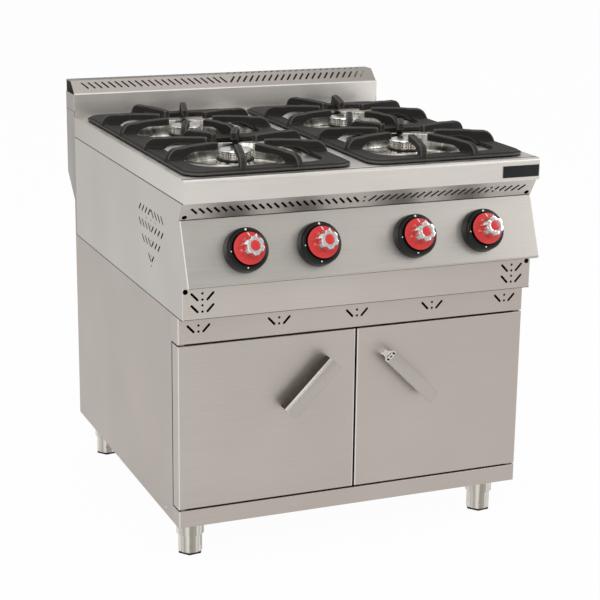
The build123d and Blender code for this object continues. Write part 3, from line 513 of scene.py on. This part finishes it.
stand(cutters[-1], (0, 0.040, 0))
carve(handle_bar, *cutters)
soften(handle_bar, 0.0010, segments=2, angle=60)


def anodised(name, light, dark, turn, rough, metallic=1.0):
    """Anodised aluminium: a silky grey with fine lines, drawn 1.4 mm apart so that they show,
    along the extrusion, which lies at the turn about Y."""
    made, tree = new_material(name)
    place = add(tree, "ShaderNodeTexCoord").outputs["Object"]
    line = add(tree, "ShaderNodeMapping", {"Vector": place, "Rotation": (0, turn, 0),
                                           "Scale": (700, 700, 10)})
    scratch = add(tree, "ShaderNodeTexNoise", {"Vector": line.outputs[0], "Scale": 1.0, "Detail": 2.0})
    tone = add(tree, "ShaderNodeMix", {0: scratch.outputs[0], 6: linear(dark), 7: linear(light)},
               data_type="RGBA")
    roughness = add(tree, "ShaderNodeMapRange", {0: scratch.outputs[0], 3: rough - 0.06, 4: rough + 0.06})
    bump = add(tree, "ShaderNodeBump", {"Height": scratch.outputs[0], "Strength": 0.08, "Distance": 0.0003})
    metal = add(tree, "ShaderNodeBsdfPrincipled", {
        "Base Color": tone.outputs[2], "Metallic": metallic, "Roughness": roughness.outputs[0],
        "Normal": bump.outputs[0],
    })
    add(tree, "ShaderNodeOutputMaterial", {"Surface": metal.outputs[0]})
    return made


flat_face, shaded_neck, sawn, shadowed = range(4)
for side, sign in (("left", -1), ("right", 1)):
    bar = copy_of(handle_bar, f"handle_{side}")
    bar.data.materials.clear()
    lie = sign * handle_lean
    for finish in (
        anodised(f"satin anodised aluminium, {side}", "#BFB8B1", "#B2ABA4", lie, 0.36),
        anodised(f"shaded anodised aluminium, {side} neck", "#5F5952", "#4F4A44", lie, 0.45),
        anodised(f"sawn aluminium, {side} ends and edges", "#FFFFFF", "#F1EFEC", lie, 0.30, metallic=0.4),
        anodised(f"aluminium in shadow, {side} chambers", "#1E1B19", "#141211", lie, 0.6),
    ):
        bar.data.materials.append(finish)
    # Each face gets one of the four finishes: the flat face, the painted shade of the neck, the near white of
    # the ends with the painted highlight on the edges, or the painted shadow in the chambers.
    for face in bar.data.polygons:
        x, y, z = face.center
        faces_end = abs(face.normal.z) > 0.5
        at_end = faces_end and abs(z) > handle_half - 0.001
        in_chamber = abs(x) < 0.0122 and 0.0325 < y < 0.0475
        in_slot = abs(x) < 0.0072 and 0.028 < y < 0.031
        if not at_end and (in_chamber or in_slot or faces_end):
            face.material_index = shadowed
        elif at_end or 0.0325 < y < 0.0471 and abs(face.normal.x) > 0.5:
            face.material_index = sawn
        elif 0.0003 < y < 0.0322 or y > 0.0465 and 0.25 < face.normal.y < 0.96:
            face.material_index = shaded_neck
        else:
            face.material_index = flat_face
    across = Vector((cos(handle_lean), 0, sign * sin(handle_lean)))
    along = Vector((sign * sin(handle_lean), 0, -cos(handle_lean)))
    out = along.cross(across)
    door_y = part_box(f"door_skin_{side}")[0].y
    bar.matrix_world = Matrix((
        (across.x, out.x, along.x, sign * handle_x), (across.y, out.y, along.y, door_y),
        (across.z, out.z, along.z, handle_low), (0, 0, 0, 1),
    ))
    choose(bar)
    bpy.ops.object.transform_apply(location=True, rotation=True, scale=True)
    fitted(bar, None, f"door_{side}", "handle_metal", f"door_handle_{side}")
bpy.data.objects.remove(handle_bar)


# Knobs
# A black phenolic bezel screwed to the panel, and the knob that turns in it: a red disc
# under a chromed grip with six flutes and a red insert. The marks are printed in white.
panel_tilt = radians(21.7261)
panel_y, panel_z = lip_y + 0.010, 0.68775
knob_turn = (pi / 2 - panel_tilt, 0, 0)
bezel_profile = [
    (0.0440, 0.0), (0.0465, 0.0), (0.0462, 0.004), (0.0445, 0.0205), (0.0415, 0.0243), (0.0365, 0.0255),
    (0.0352, 0.0250), (0.0345, 0.0225), (0.0120, 0.0225), (0.0120, 0.0205), (0.0405, 0.0205),
]
# Phenolic: nearly black, with a hard, soft-edged shine.
phenolic = moulded("black phenolic moulding", "#111614", "#0B0F0E", 0.24, grain=700.0, bumpy=0.03,
                   level=0.28)
# Red plastic from a smooth mould: a bright even red with a clear gloss.
red_plastic = moulded("red moulded plastic", "#E0302F", "#D02826", 0.24, grain=600.0, bumpy=0.04, coat=0.4)
# White printing ink: flat and without gloss.
print_white = moulded("white print", "#F6F5F2", "#EDECE8", 0.5)
# Chrome plate: a bright mirror, a little rippled as the plastic under it is, with painted shade in the hollows
# where it would mirror itself dark.
chrome, tree = new_material("chrome plating on moulded plastic")
place = add(tree, "ShaderNodeTexCoord").outputs["Object"]
ripple = add(tree, "ShaderNodeTexNoise", {"Vector": place, "Scale": 60.0, "Detail": 2.0})
bright = add(tree, "ShaderNodeMix", {0: ripple.outputs[0], 6: linear("#E2E3E3"), 7: linear("#FAFAF9")},
             data_type="RGBA")
pointiness = add(tree, "ShaderNodeNewGeometry").outputs["Pointiness"]
hollow_shade = add(tree, "ShaderNodeMapRange", {0: pointiness, 1: 0.44, 2: 0.49})
tone = add(tree, "ShaderNodeMix", {0: hollow_shade.outputs[0], 6: linear("#55565A"), 7: bright.outputs[2]},
           data_type="RGBA")
shine = add(tree, "ShaderNodeMapRange", {0: ripple.outputs[0], 3: 0.05, 4: 0.12})
plate = add(tree, "ShaderNodeBsdfPrincipled", {"Base Color": tone.outputs[2], "Metallic": 1.0,
                                               "Roughness": shine.outputs[0]})
add(tree, "ShaderNodeOutputMaterial", {"Surface": plate.outputs[0]})


def disc(name, radius, low, high, middle):
    """A small round plate with softened edges."""
    piece = rod(name, radius, low, high, steps=24)
    soften(piece, min(0.0004, (high - low) / 3), segments=2)
    stand(piece, (middle[0], middle[1], 0))
    return piece


def joined(name, *pieces):
    """One piece made of several."""
    choose(*pieces)
    bpy.ops.object.join()
    pieces[0].name = name
    return pieces[0]


knob_bezel = turned("knob_bezel", bezel_profile, steps=96)
soften(knob_bezel, 0.0006, segments=2, angle=28)
bezel_face = 0.0249
bezel_print = joined(
    "bezel_print",
    disc("top_dot", 0.0024, bezel_face, 0.0256, (-0.0015, 0.0395)),
    disc("low_dot", 0.0016, bezel_face, 0.0256, (-0.0060, -0.0385)),
    disc("side_dot", 0.0014, bezel_face, 0.0257, (-0.0375, -0.0030)),
)
dial_bore, dial_radius, dial_low, dial_top = 0.0091, 0.0335, 0.0288, 0.0330
knob_dial = turned("knob_dial", rectangle(dial_bore, dial_radius, dial_low, dial_top), steps=96)
soften(knob_dial, 0.0012, segments=4)
ink = 0.0004
pointer = pressed("pointer", [(0.0023, 0.0246), (0.0041, 0.0254), (-0.0001, 0.0319), (-0.0019, 0.0311)], ink)
flame = pressed("flame", [(-0.0018, -0.0045), (0.0018, -0.0045), (0.0030, -0.0010), (0.0022, 0.0020),
                          (0.0, 0.0050), (-0.0014, 0.0020), (-0.0028, -0.0006)], ink)
stand(flame, (0.0160, 0.0240, 0), (0, 0, -0.4))
dial_print = joined("dial_print", pointer, flame)
stand(dial_print, (0, 0, 0.0329))
knob_grip = turned("knob_grip", [(0, dial_top), (0.0225, dial_top), (0.0195, 0.0670), (0, 0.0670)],
                   steps=96, closed=False)
flute_count, flute_radius, flute_circle, first_flute = 6, 0.0080, 0.0245, 0.07
over_grip = 0.070
flutes = []
for step in range(flute_count):
    angle = 2 * pi / flute_count * step + first_flute
    flute = rod("flute", flute_radius, 0.030, over_grip, steps=32)
    stand(flute, (flute_circle * cos(angle), flute_circle * sin(angle), 0))
    flutes.append(flute)
recess = rod("recess", 0.0108, 0.0658, over_grip, steps=48)
carve(knob_grip, joined("flutes", *flutes), recess)
soften(knob_grip, 0.0008, segments=3, angle=30)
spindle = turned("spindle", [(0, -0.038), (0.004, -0.038), (0.004, dial_low), (0.009, dial_low),
                             (0.009, 0.0332), (0, 0.0332)], steps=32, closed=False)
soften(spindle, 0.0004, segments=2)
knob_grip = joined("knob_grip", knob_grip, spindle)
grip_insert = turned("grip_insert", [(0, 0.0656), (0.0107, 0.0656), (0.0107, 0.0668), (0.0085, 0.0672),
                                     (0, 0.0674)], steps=48, closed=False)
soften(grip_insert, 0.0004, segments=2, angle=25)
for number in (1, 2, 3, 4):
    where = (box_centre(f"knob_dial_{number}").x, panel_y, panel_z)
    for pattern, name, finish, body, slot, nodes in (
        (knob_bezel, "bezel", phenolic, "chassis", "bezel_black", ["knob_bezels"]),
        (bezel_print, "bezel_marks", print_white, "chassis", "bezel_black", []),
        (knob_dial, "dial", red_plastic, f"knob_{number}", "dial_red", [f"knob_dial_{number}"]),
        (dial_print, "dial_marks", print_white, f"knob_{number}", "dial_red", []),
        (knob_grip, "grip", chrome, f"knob_{number}", "grip_chrome", [f"knob_grip_{number}"]),
        (grip_insert, "grip_insert", red_plastic, f"knob_{number}", "dial_red", []),
    ):
        placed(pattern, f"{name}_{number}", where, knob_turn, finish, body, slot, *nodes)
for pattern in (knob_bezel, bezel_print, knob_dial, dial_print, knob_grip, grip_insert):
    bpy.data.objects.remove(pattern)


# Drip bowls
# Four bowls pressed from thin stainless sheet and buffed bright, each hung by its flange
# in a round well of the worktop, with a cone up to the burner.
def buffed_bowl(name, light, dark, tint, centre):
    """Buffed thin stainless sheet: streaks that run down the wall, as bumps from the buffing and as painted
    reflections, bright and dark, whose darker patches stand for the grate mirrored in the bowl, and a straw
    tint where the heat has been."""
    made, tree = new_material(name)
    place = add(tree, "ShaderNodeTexCoord").outputs["Object"]
    about = add(tree, "ShaderNodeMapping", {"Vector": place, "Location": (-centre.x, -centre.y, 0),
                                            "Scale": (1, 1, 0)})
    spoke = add(tree, "ShaderNodeVectorMath", {0: about.outputs[0]}, operation="NORMALIZE")
    painted_reflection_streak = add(tree, "ShaderNodeTexNoise", {"Vector": spoke.outputs[0], "Scale": 5.0, "Detail": 4.0})
    share = add(tree, "ShaderNodeMapRange", {0: painted_reflection_streak.outputs[0], 1: 0.40, 2: 0.60})
    cloud = add(tree, "ShaderNodeTexNoise", {"Vector": place, "Scale": 26.0, "Detail": 3.0})
    heat = add(tree, "ShaderNodeMapRange", {0: cloud.outputs[0], 1: 0.52, 2: 0.70})
    tone = add(tree, "ShaderNodeMix", {0: share.outputs[0], 6: linear(dark), 7: linear(light)},
               data_type="RGBA")
    warm = add(tree, "ShaderNodeMix", {0: heat.outputs[0], 6: tone.outputs[2], 7: linear(tint)},
               data_type="RGBA")
    roughness = add(tree, "ShaderNodeMapRange", {0: cloud.outputs[0], 1: 0.3, 2: 0.7, 3: 0.12, 4: 0.24})
    bump = add(tree, "ShaderNodeBump", {"Height": painted_reflection_streak.outputs[0], "Strength": 0.25, "Distance": 0.002})
    steel = add(tree, "ShaderNodeBsdfPrincipled", {
        "Base Color": warm.outputs[2], "Metallic": 1.0, "Roughness": roughness.outputs[0],
        "Normal": bump.outputs[0],
    })
    add(tree, "ShaderNodeOutputMaterial", {"Surface": steel.outputs[0]})
    return made


burner_places = ("front_left", "rear_left", "front_right", "rear_right")
for place in burner_places:
    centre = box_centre(f"burner_cap_{place}")
    dress(buffed_bowl(f"buffed stainless sheet, {place} bowl", "#E0DDD6", "#97948B", "#A2988A", centre),
          f"drip_bowl_{place}")


# Burners
# A cast base with its ring on the bowl, a lift-off aluminium head with milled flame ports,
# and a lift-off polished lid.
def cast_metal(name, light, dark, rough):
    """A cast metal surface: sand grain, drawn 1.5 mm apart so that it shows."""
    made, tree = new_material(name)
    place = add(tree, "ShaderNodeTexCoord").outputs["Object"]
    sand = add(tree, "ShaderNodeTexNoise", {"Vector": place, "Scale": 650.0, "Detail": 3.0})
    cloud = add(tree, "ShaderNodeTexNoise", {"Vector": place, "Scale": 60.0, "Detail": 3.0})
    tone = add(tree, "ShaderNodeMix", {0: cloud.outputs[0], 6: linear(dark), 7: linear(light)},
               data_type="RGBA")
    roughness = add(tree, "ShaderNodeMapRange", {0: cloud.outputs[0], 3: rough - 0.08, 4: rough + 0.08})
    bump = add(tree, "ShaderNodeBump", {"Height": sand.outputs[0], "Strength": 0.25, "Distance": 0.0005})
    metal = add(tree, "ShaderNodeBsdfPrincipled", {
        "Base Color": tone.outputs[2], "Metallic": 1.0, "Roughness": roughness.outputs[0],
        "Normal": bump.outputs[0],
    })
    add(tree, "ShaderNodeOutputMaterial", {"Surface": metal.outputs[0]})
    return made


# Cast iron that the heat has darkened: a dull brown grey.
dress(cast_metal("heat-darkened cast iron", "#4A4642", "#34312E", 0.5), "burner_bases")
top_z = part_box("worktop")[1].z
burner_head = turned("burner_head", [
    (0.0220, -0.0135), (0.0257, -0.0135), (0.0257, -0.0075), (0.0350, -0.0075), (0.0350, 0.0062),
    (0.0335, 0.0062), (0.0335, 0.0075), (0.0240, 0.0075), (0.0240, -0.0075), (0.0220, -0.0075),
], steps=96)
sector_count = 12
slot = pressed("slot", rectangle(0.0325, 0.0370, -0.0005, 0.0005), 0.0160)
stand(slot, (0, 0, -0.0080), (0, 0, pi / sector_count))
ports = [slot]
for across in (-0.0036, 0.0036):
    for up in (-0.0030, 0.0025):
        port = rod("port", 0.0015, 0, 0.008, steps=12)
        stand(port, (0.0295, across, up), (0, pi / 2, 0))
        ports.append(port)
ports = joined("ports", *ports)
sectors = []
for step in range(sector_count):
    sector = copy_of(ports, "sector")
    stand(sector, (0, 0, 0), (0, 0, 2 * pi * step / sector_count))
    sectors.append(sector)
bpy.data.objects.remove(ports)
carve(burner_head, joined("sectors", *sectors))
# Machined aluminium is a clean silver white, and the ports are painted dead black inside as shade.
machined, painted_shade = range(2)
burner_head.data.materials.append(cast_metal("machined cast aluminium", "#F4F2EE", "#DCD9D3", 0.28))
burner_head.data.materials.append(
    cast_metal("sooty cast aluminium in the flame ports", "#2A2725", "#1B1917", 0.7))
for face in burner_head.data.polygons:
    from_axis = Vector((face.center.x, face.center.y)).length
    in_port = 0.0245 < from_axis < 0.0346 and -0.0070 < face.center.z < 0.0074
    face.material_index = painted_shade if in_port else machined
soften(burner_head, 0.0003, segments=1, angle=40)
burner_lid = turned("burner_lid", [
    (0, 0.0025), (0.0237, 0.0025), (0.0237, 0.0075), (0.0375, 0.0075), (0.0375, 0.0092), (0.0347, 0.0111),
    (0.0290, 0.0115), (0, 0.0115),
], steps=96, closed=False)
soften(burner_lid, 0.0006, segments=3, angle=20)
for place in burner_places:
    centre = box_centre(f"burner_cap_{place}")
    here = (centre.x, centre.y, top_z)
    placed(burner_head, f"head_{place}", here, upright, None, f"head_{place}", "burner_alloy",
           f"burner_head_{place}")
    lid_metal = polished_steel(f"polished burner lid, {place}", "#F5F4F0", "#B4B1AA", centre, 0.16)
    placed(burner_lid, f"cap_{place}", here, upright, lid_metal, f"cap_{place}", "polished_steel",
           f"burner_cap_{place}")
bpy.data.objects.remove(burner_head)
bpy.data.objects.remove(burner_lid)


# Grates
# Two grates cast in iron and coated with matt black enamel: a flat rim with two windows,
# and eight upright fingers that close in on each burner. The casting's edges are rounded.
def rounded_slab(name, x0, x1, y0, y1, corner, z0, z1):
    """A slab with round corners."""
    return extruded(outline(name, [(x, y, z0) for x, y in rectangle(x0, x1, y0, y1)]), (0, 0, z1 - z0), corner)


def grate_finger(root, tip):
    """One finger from a point on the rim to its tip by the burner, seen from above."""
    run = Vector(tip) - Vector(root)
    length, thick = run.length, 0.014
    side = [(0.040, 0.8437), (0.0, 0.8437), (0.0, 0.851), (0.003, 0.8585), (0.008, 0.8655), (0.015, 0.8705),
            (0.023, 0.8730), (0.036, 0.8733), (0.048, 0.8735), (0.058, 0.8742), (0.070, 0.8750),
            (0.085, 0.8750), (length - 0.015, 0.8750), (length, 0.8737), (length, 0.857), (0.075, 0.8595),
            (0.062, 0.8580), (0.052, 0.8535), (0.045, 0.8485)]
    piece = extruded(outline("finger", [(x, -thick / 2, z) for x, z in side]), (0, thick, 0))
    stand(piece, (root[0], root[1], 0), (0, 0, run.angle_signed(Vector((1, 0)))))
    return piece


grate_low, grate_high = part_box("grate_right")
middle_x, middle_y = (grate_low.x + grate_high.x) / 2, (grate_low.y + grate_high.y) / 2
rim, ledge = 0.040, 0.007
grate = rounded_slab("grate_casting", grate_low.x, grate_high.x, grate_low.y, grate_high.y, 0.040,
                     0.8425, 0.8470)
upper = rounded_slab("upper", grate_low.x + ledge, grate_high.x - ledge, grate_low.y + ledge,
                     grate_high.y - ledge, 0.034, 0.8440, 0.8510)
carve(grate, upper, operation="UNION")
window_deep = (grate_high.y - grate_low.y - 3 * rim) / 2
for y0 in (grate_low.y + rim, middle_y + rim / 2):
    window = rounded_slab("window", grate_low.x + rim, grate_high.x - rim, y0, y0 + window_deep, 0.055,
                          0.83, 0.86)
    carve(grate, window)
inset, root_spread, tip_spread, tip_gap = 0.004, 0.062, 0.022, 0.072
side_root_spread, side_tip_spread, side_tip_gap = 0.078, 0.030, 0.054
fingers = []
for burner, near_y, far_y in (
    ("front_right", grate_low.y + inset, middle_y - inset / 2),
    ("rear_right", middle_y + inset / 2, grate_high.y - inset),
):
    burner_y = box_centre(f"burner_cap_{burner}").y
    for side in (-1, 1):
        root_x, tip_x = middle_x + side * root_spread, middle_x + side * tip_spread
        fingers.append(grate_finger((root_x, near_y), (tip_x, burner_y - tip_gap)))
        fingers.append(grate_finger((root_x, far_y), (tip_x, burner_y + tip_gap)))
        for end_x, way in ((grate_low.x + inset, -1), (grate_high.x - inset, 1)):
            fingers.append(grate_finger((end_x, burner_y + side * side_root_spread),
                                        (middle_x + way * side_tip_gap, burner_y + side * side_tip_spread)))
pad_inset, pad_radius = 0.030, 0.008
for x in (grate_low.x + pad_inset, grate_high.x - pad_inset):
    for y in (grate_low.y + pad_inset, middle_y, grate_high.y - pad_inset):
        fingers.append(disc("foot", pad_radius, 0.840, 0.846, (x, y)))
grate = joined("grate_casting", grate, *fingers)
apply(grate, "REMESH", mode="VOXEL", voxel_size=0.0017)
apply(grate, "SMOOTH", factor=0.5, iterations=3)
apply(grate, "DECIMATE", ratio=0.3)
bpy.ops.object.shade_smooth()

# Matt black enamel: near black with a sandy grain, drawn 2 mm apart so that it shows, and paler along the
# raised edges, partly wear and partly a painted highlight.
enamel, tree = new_material("matt black enamel on cast iron")
place = add(tree, "ShaderNodeTexCoord").outputs["Object"]
sand = add(tree, "ShaderNodeTexNoise", {"Vector": place, "Scale": 500.0, "Detail": 3.0})
cloud = add(tree, "ShaderNodeTexNoise", {"Vector": place, "Scale": 18.0, "Detail": 3.0})
pointiness = add(tree, "ShaderNodeNewGeometry").outputs["Pointiness"]
edge = add(tree, "ShaderNodeMapRange", {0: pointiness, 1: 0.507, 2: 0.56})
base = add(tree, "ShaderNodeMix", {0: cloud.outputs[0], 6: linear("#1A1715"), 7: linear("#292522")},
           data_type="RGBA")
tone = add(tree, "ShaderNodeMix", {0: edge.outputs[0], 6: base.outputs[2], 7: linear("#66625D")},
           data_type="RGBA")
bump = add(tree, "ShaderNodeBump", {"Height": sand.outputs[0], "Strength": 0.35, "Distance": 0.0006})
roughness = add(tree, "ShaderNodeMapRange", {0: sand.outputs[0], 3: 0.55, 4: 0.72})
coating = add(tree, "ShaderNodeBsdfPrincipled", {
    "Base Color": tone.outputs[2], "Roughness": roughness.outputs[0], "Normal": bump.outputs[0],
    "Specular IOR Level": 0.3,
})
add(tree, "ShaderNodeOutputMaterial", {"Surface": coating.outputs[0]})
left_grate = copy_of(grate, "grate_left_casting")
left_grate.scale = (-1, 1, 1)
bpy.ops.object.transform_apply(location=True, rotation=True, scale=True)
bpy.ops.object.mode_set(mode="EDIT")
bpy.ops.mesh.select_all(action="SELECT")
bpy.ops.mesh.normals_make_consistent(inside=False)
bpy.ops.object.mode_set(mode="OBJECT")
grate.name = "grate_right_casting"
fitted(grate, enamel, "grate_right", "grate_iron", "grate_right")
fitted(left_grate, enamel, "grate_left", "grate_iron", "grate_left")


# Blank plate
# A thin black plastic plate with a printed silver border, cut from sheet and glued to the
# right end of the lip.
# Silver ink with a fine line in it, round a black plate that has a low, even sheen.
border = rounded_slab("lip_plate_border", 0.3100, 0.3990, 0.8000, 0.8270, 0.0020, 0, 0.0007)
face = rounded_slab("lip_plate", 0.3108, 0.3982, 0.8008, 0.8262, 0.0014, 0.0002, 0.0009)
for piece, finish in (
    (border, anodised("silver printed border", "#CFCBC6", "#BDB9B4", 0, 0.4)),
    (face, moulded("black printed plastic plate", "#16181A", "#101214", 0.45, level=0.3)),
):
    soften(piece, 0.0002, segments=2)
    stand(piece, (0, lip_y, 0), (pi / 2, 0, 0))
    fitted(piece, finish, "chassis", "bezel_black")


# Gas taps and pipes
# Behind the panel, four taps machined from brass, each with a plug that its knob turns. They
# screw into a gas pipe, and bent stainless tubes lead from them to the burners.
# Machined brass: a warm yellow with a soft shine.
brass = cast_metal("machined brass", "#C2A466", "#A98B4E", 0.32)
dress(brass, "gas_taps", *[f"tap_plug_{number}" for number in (1, 2, 3, 4)])
dress(inner_steel, "gas_line", "burner_pipes")
